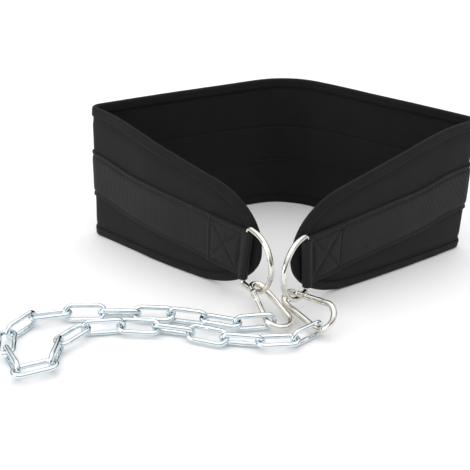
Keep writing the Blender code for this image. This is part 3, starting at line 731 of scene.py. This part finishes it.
strap_mesh = mapped_grid("webbing", STRAP_ROWS, len(STRAP_PATH), False, strap_spot, strap_flat)
strap = add("webbing", strap_mesh, web, "webbing_strap")
weave_thickness = strap.modifiers.new("thickness", "SOLIDIFY")
weave_thickness.thickness = STRAP_THICKNESS
weave_thickness.offset = 0.0
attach(strap, "belt")

# Stitching
# Dark polyester thread: one row along the binding on both faces, two rows along the strap that show
# on the inner face too, and a boxed cross that holds each tail. Each stitch is a short bead in the cloth.
STITCH_PITCH = 0.0034
STITCH_LENGTH = 0.0026
STITCH_WIDTH = 0.0011
STITCH_HEIGHT = 0.0006
thread, thread_tree, thread_shader, thread_place = new_paint("polyester_thread", (0.03, 0.03, 0.031), 0.5)
twist = bands(thread_tree, turned_place(thread_tree, thread_place.outputs["Object"], math.pi / 5), 0.0004)
relief(thread_tree, twist, 0.0001, thread_shader, 0.5)
tint(thread_tree, twist, (0.003, 0.003, 0.0032), (0.02, 0.02, 0.0205), thread_shader)


def sew(shape, spots):
    """Row of stitches along a run of (point, normal) pairs."""
    gone = 0.0
    due = STITCH_PITCH / 2
    for (start, normal), (end, _) in zip(spots, spots[1:]):
        run = end - start
        if run.length == 0.0:
            continue
        along = run.normalized()
        side = normal.cross(along).normalized()
        out = along.cross(side)
        size = (along * STITCH_LENGTH / 2, side * STITCH_WIDTH / 2, out * STITCH_HEIGHT)
        frame_matrix = Matrix(size).transposed().to_4x4()
        while due <= gone + run.length:
            spot = Matrix.Translation(start + along * (due - gone)) @ frame_matrix
            bmesh.ops.create_icosphere(shape, subdivisions=1, radius=1.0, matrix=spot)
            due += STITCH_PITCH
        gone += run.length


def on_belt(distance, outward, height):
    """Place and outward direction of a stitch on one of the belt's faces."""
    normal = place(distance, outward, height) - place(distance, 0.0, height)
    return place(distance, outward, height), normal.normalized()


def stitched(name, runs):
    """One piece of thread made of all the given rows, shown with the cloth that it holds."""
    shape = bmesh.new()
    for run in runs:
        sew(shape, run)
    mesh = bpy.data.meshes.new(name)
    shape.to_mesh(mesh)
    shape.free()
    for face in mesh.polygons:
        face.use_smooth = True
    piece = bpy.data.objects.new(name, mesh)
    scene.collection.objects.link(piece)
    mesh.materials.append(thread)
    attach(piece, "belt")


seam_line = inset(FINE_OUTLINE, SEAM_DEPTH)
seam_rows = []
for face_side in (-1, 1):
    outward = face_side * (outer_face - TAPE_PULL)
    seam_rows.append([on_belt(spot.x, outward, spot.y) for spot in seam_line + seam_line[:1]])
stitched("binding_stitches", seam_rows)

strap_rows = []
run_end = BAR - CROSSING_START
ROW_STEPS = 120
for across in (-SEAM_ROW * 2 / STRAP_WIDTH, SEAM_ROW * 2 / STRAP_WIDTH):
    front = []
    back = []
    for step in range(ROW_STEPS + 1):
        distance = (2 * step / ROW_STEPS - 1) * run_end
        height = strap_level(distance) + across * STRAP_WIDTH / 2 / math.cos(strap_slope(distance))
        layer = strap_layer(distance, across) + STRAP_THICKNESS / 2
        front.append(on_belt(distance, layer, height))
        back.append(on_belt(distance, -panel_half(distance, height), height))
    strap_rows += [front, back]


def tail_spot(side, share, across):
    """Place on a tail's outer face, share running from the tail's end to the loop."""
    distance = TAIL_START + BOX_INSET + BOX_RUN * share
    outward = strap_layer(distance, across) + LAYER - TAIL_DENT + STRAP_THICKNESS / 2
    spot = strap_point(side, distance, across, outward)
    return spot, (spot - strap_point(side, distance, across, 0.0)).normalized()


BOX_STEPS = 12
for side in (-1, 1):
    for path in BOX_PATHS:
        spots = []
        for first, second in zip(path, path[1:]):
            for step in range(BOX_STEPS):
                share = step / BOX_STEPS
                along = mix(first[0], second[0], share)
                spots.append(tail_spot(side, along, mix(first[1], second[1], share)))
        spots.append(tail_spot(side, *path[-1]))
        strap_rows.append(spots)
stitched("strap_stitches", strap_rows)

# D-rings
# Each is one piece of 5.5 mm steel wire bent to a D, its weld hidden in the strap's loop.
# It is nickel plated and polished, with faint handling marks.
RING_WIDTH = 0.060
RING_CORNER = 0.004
RING_LEG = 0.012
RING_SWING = {"left": math.radians(20), "right": math.radians(20)}
CORNER_STEPS = 8
BOW_STEPS = 40
nickel, nickel_tree, nickel_shader, nickel_place = new_paint("polished_nickel", (0.62, 0.60, 0.56), 0.12, 1.0)
nickel_object = nickel_place.outputs["Object"]
marks = grain(nickel_tree, turned_place(nickel_tree, nickel_object, 0.6, (1.0, 6.0, 2.0)), 0.004, 5.0)
wear = grain(nickel_tree, nickel_object, 0.009)
ranged(nickel_tree, wear, 0.05, 0.13, nickel_shader, "Roughness")
relief(nickel_tree, marks, 0.00001, nickel_shader, 0.12)
tint(nickel_tree, wear, (0.66, 0.64, 0.59), (0.78, 0.76, 0.71), nickel_shader)


WELD_SWELL = 0.16


def wire(name, points, diameter, closed, frame_matrix, bead=None):
    """Round wire along a line of points, with a slight bead of weld about one of them."""
    curve = bpy.data.curves.new(name, "CURVE")
    curve.dimensions = "3D"
    curve.bevel_depth = diameter / 2
    curve.bevel_resolution = 5
    curve.use_fill_caps = not closed
    line = curve.splines.new("POLY")
    line.points.add(len(points) - 1)
    line.use_cyclic_u = closed
    for target, point in zip(line.points, points):
        target.co = (point.x, point.y, 0.0, 1.0)
        if bead is not None:
            away = (point - bead).length / (diameter / 2)
            target.radius = 1.0 + WELD_SWELL * math.exp(-away * away)
    drawn = bpy.data.objects.new(name + "_line", curve)
    scene.collection.objects.link(drawn)
    mesh = bpy.data.meshes.new_from_object(drawn)
    bpy.data.objects.remove(drawn)
    mesh.name = name
    for face in mesh.polygons:
        face.use_smooth = len(face.vertices) <= 4
    mesh.transform(frame_matrix)
    return mesh


def ring_points():
    """Middle line of a D-ring: bar on the Y axis, bow towards +X."""
    half = RING_WIDTH / 2
    corner = RING_CORNER
    quarter = math.pi / 2
    low = arc((corner, corner - half), corner, 2 * quarter, 3 * quarter, CORNER_STEPS)
    bow = arc((RING_LEG, 0.0), half, -quarter, quarter, BOW_STEPS)
    high = arc((corner, half - corner), corner, quarter, 2 * quarter, CORNER_STEPS)
    return low + bow + high


def ring_frame(side):
    """Place of a D-ring: X out along the swung ring, Y up the bar."""
    swing = RING_SWING["left" if side < 0 else "right"]
    centre = strap_point(side, BAR, 0, BAR_OUT)
    up = (strap_point(side, BAR, 1, BAR_OUT) - strap_point(side, BAR, -1, BAR_OUT)).normalized()
    normal = (centre - strap_point(side, BAR, 0, 0.0)).normalized()
    tipward = -side * up.cross(normal)
    out = tipward * math.cos(swing) + normal * math.sin(swing)
    frame = Matrix((out, up, out.cross(up))).transposed().to_4x4()
    return Matrix.Translation(centre) @ frame


for side, label in ((-1, "left"), (1, "right")):
    ring_mesh = wire("ring_" + label, ring_points(), RING_WIRE, True, ring_frame(side))
    ring = add("ring_" + label, ring_mesh, nickel, "d_ring_" + label)
    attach(ring, "belt")

# Hooks
# Pear-shaped spring hooks bent from 6 mm steel wire, with a flattened eye at the end of the hinge post.
# The narrow end is threaded on the D-ring and the wide end holds the chain.
HOOK_WIRE = 0.006
HOOK_LENGTH = 0.068
HOOK_SMALL_WIDTH = 0.019
HOOK_BIG_WIDTH = 0.031
GATE_PIVOT_SETBACK = 0.007
GATE_OPENING = 0.034
POST_CLEARANCE = 0.0004
TONGUE_THICKNESS = 0.0022
TONGUE_RADIUS = 0.0024
SLOT_DEPTH = 0.0062
PIN_RADIUS = 0.001
PIN_HEAD_RADIUS = 0.0017
PIN_HEAD_HEIGHT = 0.0005
HOOK_POSES = {
    "left": {"ring_angle": 36.0, "seat": 0.005, "heading": -64.0, "dip": 14.0, "roll": 174.0},
    "right": {"ring_angle": 32.0, "seat": 0.003, "heading": -50.0, "dip": -1.0, "roll": 55.0},
}
SMALL_STEPS = 28
BIG_STEPS = 36
EYE_STEPS = 12
SMALL_BEND = (HOOK_SMALL_WIDTH - HOOK_WIRE) / 2
BIG_BEND = (HOOK_BIG_WIDTH - HOOK_WIRE) / 2
BEND_DISTANCE = HOOK_LENGTH - (HOOK_SMALL_WIDTH + HOOK_BIG_WIDTH) / 2
FLARE = math.asin((BIG_BEND - SMALL_BEND) / BEND_DISTANCE)
LEG_START = Vector((-math.sin(FLARE), math.cos(FLARE))) * SMALL_BEND
LEG_DIRECTION = Vector((math.cos(FLARE), math.sin(FLARE)))
PIVOT = LEG_START + LEG_DIRECTION * GATE_PIVOT_SETBACK
GATE_END = HOOK_WIRE / 2
SLOT_WIDTH = TONGUE_THICKNESS + 2 * GAP


def hook_points():
    """Middle line of the hook's wire, from the hinge post round both bends to the nose."""
    side = math.pi / 2 + FLARE
    post = PIVOT - LEG_DIRECTION * (GATE_END + POST_CLEARANCE)
    small = arc((0.0, 0.0), SMALL_BEND, side, 2 * math.pi - side, SMALL_STEPS)
    big = arc((BEND_DISTANCE, 0.0), BIG_BEND, -side, side, BIG_STEPS)
    nose = PIVOT + LEG_DIRECTION * (GATE_OPENING + GAP)
    return [post] + small + big + [nose]


def tongue_curve():
    """Flat eye that stands out of the hook's post and carries the pin."""
    curve = bpy.data.curves.new("tongue", "CURVE")
    curve.dimensions = "2D"
    curve.fill_mode = "BOTH"
    curve.extrude = TONGUE_THICKNESS / 2
    root_depth = GATE_END + POST_CLEARANCE + HOOK_WIRE / 2
    head = arc((0.0, 0.0), TONGUE_RADIUS, -math.pi / 2, math.pi / 2, EYE_STEPS)
    foot = [Vector((-root_depth, TONGUE_RADIUS)), Vector((-root_depth, -TONGUE_RADIUS))]
    hole = arc((0.0, 0.0), PIN_RADIUS + GAP, 0.0, 2 * math.pi, 2 * EYE_STEPS)[:-1]
    for points in (head + foot, hole):
        spline = curve.splines.new("POLY")
        spline.points.add(len(points) - 1)
        spline.use_cyclic_u = True
        for target, point in zip(spline.points, points):
            target.co = (point.x, point.y, 0.0, 1.0)
    return curve


def hook_frame(side):
    """Place of a hook: its seat lies on the middle of the D-ring's wire."""
    pose = HOOK_POSES["left" if side < 0 else "right"]
    angle = math.radians(pose["ring_angle"])
    half = RING_WIDTH / 2
    on_ring = Vector((RING_LEG + half * math.sin(angle), -half * math.cos(angle), 0.0))
    turn = (Matrix.Rotation(math.radians(pose["heading"]), 4, "Z")
            @ Matrix.Rotation(math.radians(pose["dip"]), 4, "Y")
            @ Matrix.Rotation(math.radians(pose["roll"]), 4, "X"))
    seat = Matrix.Translation((-pose["seat"], 0.0, 0.0))
    return Matrix.Translation(ring_frame(side) @ on_ring) @ turn @ seat


def gate_frame(side):
    """Place of a gate: origin on the pin, Z towards the nose, Y on the pin's axis."""
    lean = Matrix((LEG_DIRECTION.to_3d().cross(Vector((0, 0, 1))) * -1,
                   Vector((0, 0, 1)), LEG_DIRECTION.to_3d())).transposed()
    return hook_frame(side) @ Matrix.Translation(PIVOT.to_3d()) @ lean.to_4x4()


def joined(mesh, other):
    """Two meshes as one."""
    shape = bmesh.new()
    shape.from_mesh(mesh)
    shape.from_mesh(other)
    shape.to_mesh(mesh)
    shape.free()
    return mesh


for side, label in ((-1, "left"), (1, "right")):
    hook_mesh = wire("snap_hook_" + label, hook_points(), HOOK_WIRE, False, hook_frame(side))
    eye = bpy.data.objects.new("eye_line", tongue_curve())
    scene.collection.objects.link(eye)
    eye_mesh = bpy.data.meshes.new_from_object(eye)
    bpy.data.objects.remove(eye)
    eye_mesh.transform(hook_frame(side) @ Matrix.Translation(PIVOT.to_3d()) @ Matrix.Rotation(FLARE, 4, "Z"))
    hook = add("snap_hook_" + label, joined(hook_mesh, eye_mesh), nickel, "hook_" + label)
    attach(hook, "belt")

# Spring gates
# A turned steel barrel, slotted at its round end to straddle the hook's eye, with a groove over the spring.
# It closes flush against the hook's nose.
GROOVE_PLACE = 0.011
GROOVE_DEPTH = 0.0003
GROOVE_HALF_WIDTH = 0.0006
GATE_BALL_STEPS = 10
GATE_SIDES = 32
EDGE_ROUND = 0.0005


def turned(name, profile, steps, frame_matrix):
    """Mesh of a profile of (radius, height) pairs spun round Z."""
    shape = bmesh.new()
    line = [shape.verts.new((radius, 0.0, height)) for radius, height in profile]
    edges = [shape.edges.new(pair) for pair in zip(line, line[1:])]
    bmesh.ops.spin(shape, geom=line + edges, cent=(0, 0, 0), axis=(0, 0, 1), angle=2 * math.pi, steps=steps,
                   use_merge=True)
    bmesh.ops.remove_doubles(shape, verts=shape.verts, dist=1e-7)
    bmesh.ops.recalc_face_normals(shape, faces=shape.faces)
    mesh = bpy.data.meshes.new(name)
    shape.to_mesh(mesh)
    shape.free()
    mesh.transform(frame_matrix)
    return mesh


def slotted(mesh, size, frame_matrix):
    """Mesh with a box cut out of it."""
    shape = bmesh.new()
    bmesh.ops.create_cube(shape, size=1.0, matrix=frame_matrix @ Matrix.Diagonal((*size, 1.0)))
    box_mesh = bpy.data.meshes.new("slot")
    shape.to_mesh(box_mesh)
    shape.free()
    block = bpy.data.objects.new("slot_block", box_mesh)
    solid = bpy.data.objects.new("slot_solid", mesh)
    scene.collection.objects.link(block)
    scene.collection.objects.link(solid)
    taking = solid.modifiers.new("slot", "BOOLEAN")
    taking.operation = "DIFFERENCE"
    taking.solver = "EXACT"
    taking.object = block
    result = bpy.data.meshes.new_from_object(solid.evaluated_get(bpy.context.evaluated_depsgraph_get()))
    bpy.data.objects.remove(solid)
    bpy.data.objects.remove(block)
    return result


gate_radius = HOOK_WIRE / 2
gate_profile = [(0.0, GATE_OPENING), (gate_radius - EDGE_ROUND, GATE_OPENING),
                (gate_radius, GATE_OPENING - EDGE_ROUND),
                (gate_radius, GROOVE_PLACE + GROOVE_HALF_WIDTH), (gate_radius - GROOVE_DEPTH, GROOVE_PLACE),
                (gate_radius, GROOVE_PLACE - GROOVE_HALF_WIDTH)]
for step in range(GATE_BALL_STEPS + 1):
    angle = math.pi / 2 * step / GATE_BALL_STEPS
    gate_profile.append((gate_radius * math.cos(angle) if step < GATE_BALL_STEPS else 0.0,
                         -gate_radius * math.sin(angle)))
for side, label in ((-1, "left"), (1, "right")):
    gate_matrix = gate_frame(side)
    gate_mesh = turned("spring_gate_" + label, gate_profile, GATE_SIDES, gate_matrix)
    slot_matrix = gate_matrix @ Matrix.Translation((0.0, 0.0, -gate_radius))
    gate_mesh = slotted(gate_mesh, (4 * gate_radius, SLOT_WIDTH, 2 * SLOT_DEPTH), slot_matrix)
    gate_mesh.name = "spring_gate_" + label
    gate = add("spring_gate_" + label, gate_mesh, nickel, "gate_" + label)
    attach(gate, "gate_" + label)

# Hinge rivets
# A 2 mm cross pin with a low round head peened over on each cheek of the gate.
HEAD_STEPS = 6
RIVET_SIDES = 20
under = HOOK_WIRE / 2 + GAP
rivet_profile = []
for step in range(HEAD_STEPS + 1):
    angle = math.pi / 2 * step / HEAD_STEPS
    rivet_profile.append((PIN_HEAD_RADIUS * math.sin(angle), under + PIN_HEAD_HEIGHT * math.cos(angle)))
rivet_profile.append((PIN_RADIUS, under))
rivet_profile += [(radius, -height) for radius, height in reversed(rivet_profile)]
for side, label in ((-1, "left"), (1, "right")):
    rivet_matrix = hook_frame(side) @ Matrix.Translation(PIVOT.to_3d())
    rivet_mesh = turned("rivet_" + label, rivet_profile, RIVET_SIDES, rivet_matrix)
    rivet = add("rivet_" + label, rivet_mesh, nickel, "pin_" + label)
    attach(rivet, "belt")

# Chain
# Twenty long links of 4.5 mm zinc-plated wire, each butt welded in the middle of one long side.
# They run from the right hook's wide end along the floor to the left hook's.
LINK_WIRE = 0.0045
LINK_INNER_LENGTH = 0.032
LINK_WIDTH = 0.0175
CHAIN_ROUTE = [
    (0.0328, -0.2059, 0.0088, 90.0),
    (0.0055, -0.2313, 0.0088, 90.0),
    (-0.0300, -0.2360, 0.0088, 82.0),
    (-0.0620, -0.2300, 0.0085, 60.0),
    (-0.0980, -0.2170, 0.0082, 48.0),
    (-0.1400, -0.2140, 0.0086, 56.0),
    (-0.1600, -0.2160, 0.0090, 70.0),
    (-0.1850, -0.2240, 0.0092, 88.0),
    (-0.1980, -0.2500, 0.0092, 90.0),
    (-0.1960, -0.2952, 0.0092, 90.0),
    (-0.2260, -0.2972, 0.0092, 90.0),
    (-0.2440, -0.2500, 0.0092, 90.0),
    (-0.2460, -0.2120, 0.0092, 90.0),
    (-0.2050, -0.1950, 0.0092, 84.0),
    (-0.1650, -0.1920, 0.0086, 62.0),
    (-0.1250, -0.1900, 0.0082, 42.0),
    (-0.0900, -0.1930, 0.0090, 20.0),
    (-0.0680, -0.2000, 0.0092, 4.0),
    (-0.0450, -0.2085, 0.0094, 0.0),
    (-0.0040, -0.1996, 0.0110, 0.0),
]
ROUTE_STEP = 0.0002
LINK_STEPS = 14
SIDE_STEPS = 12
LINK_BEND = (LINK_WIDTH - LINK_WIRE) / 2
LINK_REACH = LINK_INNER_LENGTH + LINK_WIRE
LINK_HOLD = LINK_WIRE + GAP
zinc, zinc_tree, zinc_shader, zinc_place = new_paint("bright_zinc", (0.72, 0.77, 0.82), 0.24, 1.0)
zinc_object = zinc_place.outputs["Object"]
bloom = grain(zinc_tree, zinc_object, 0.006, 4.0)
pits = grain(zinc_tree, zinc_object, 0.0012, 2.0)
ranged(zinc_tree, bloom, 0.05, 0.15, zinc_shader, "Roughness")
relief(zinc_tree, pits, 0.00002, zinc_shader, 0.15)
tint(zinc_tree, bloom, (0.60, 0.67, 0.71), (0.80, 0.87, 0.90), zinc_shader)


def link_line():
    """Middle line of a link, the start end at the origin and the far end along X, and the weld's place."""
    quarter = math.pi / 2
    start = arc((LINK_BEND, 0.0), LINK_BEND, quarter, 3 * quarter, LINK_STEPS)
    end = arc((LINK_REACH - LINK_BEND, 0.0), LINK_BEND, -quarter, quarter, LINK_STEPS)
    near = [start[-1].lerp(end[0], step / SIDE_STEPS) for step in range(1, SIDE_STEPS)]
    return start + near + end, start[-1].lerp(end[0], 0.5)


def route_point(travel):
    """Point of the chain's route at a length from its start and the lean there, or None past its end."""
    for first, second in zip(CHAIN_ROUTE, CHAIN_ROUTE[1:]):
        start = Vector(first[:3])
        length = (Vector(second[:3]) - start).length
        if travel <= length:
            share = travel / length
            return start.lerp(Vector(second[:3]), share), mix(first[3], second[3], share)
        travel -= length
    return None


def reach_route(start, travel, reach):
    """First length along the route, past the given one, whose point lies at the reach from the start."""
    while route_point(travel) is not None and (route_point(travel)[0] - start).length < reach:
        travel += ROUTE_STEP
    return travel


def flatness(number, lean):
    """How flat a link lies, from 0 for an upright one to 1."""
    return math.cos(math.radians(lean if number % 2 else lean - 90.0)) ** 2


def chain_places():
    """Start, direction and lean of each link, walked along the route, each held by the one before."""
    places = []
    start = Vector(CHAIN_ROUTE[0][:3])
    travel = 0.0
    while True:
        travel = reach_route(start, travel, LINK_REACH)
        if route_point(travel) is None:
            return places
        point, lean = route_point(travel)
        direction = (point - start).normalized()
        places.append((start, direction, math.radians(lean)))
        end = start + direction * LINK_REACH
        further = route_point(reach_route(end, travel, LINK_REACH - LINK_HOLD))
        if further is None:
            return places
        onward = (further[0] - end).normalized()
        number = len(places)
        pull = direction * flatness(number, lean) + onward * flatness(number + 1, lean)
        start = end - pull.normalized() * LINK_HOLD


link_middle, weld = link_line()
for number, (start, direction, lean) in enumerate(chain_places(), start=1):
    side = Vector((0, 0, 1)).cross(direction).normalized()
    turn = Matrix((direction, side, direction.cross(side))).transposed().to_4x4()
    roll = lean if number % 2 else lean - math.pi / 2
    link_matrix = Matrix.Translation(start + FLOOR_CENTRE) @ turn @ Matrix.Rotation(roll, 4, "X")
    name = f"welded_link_{number:02d}"
    link_mesh = wire(name, link_middle, LINK_WIRE, True, link_matrix, weld)
    link = add(name, link_mesh, zinc, f"chain_link_{number:02d}")
    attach(link, "belt")
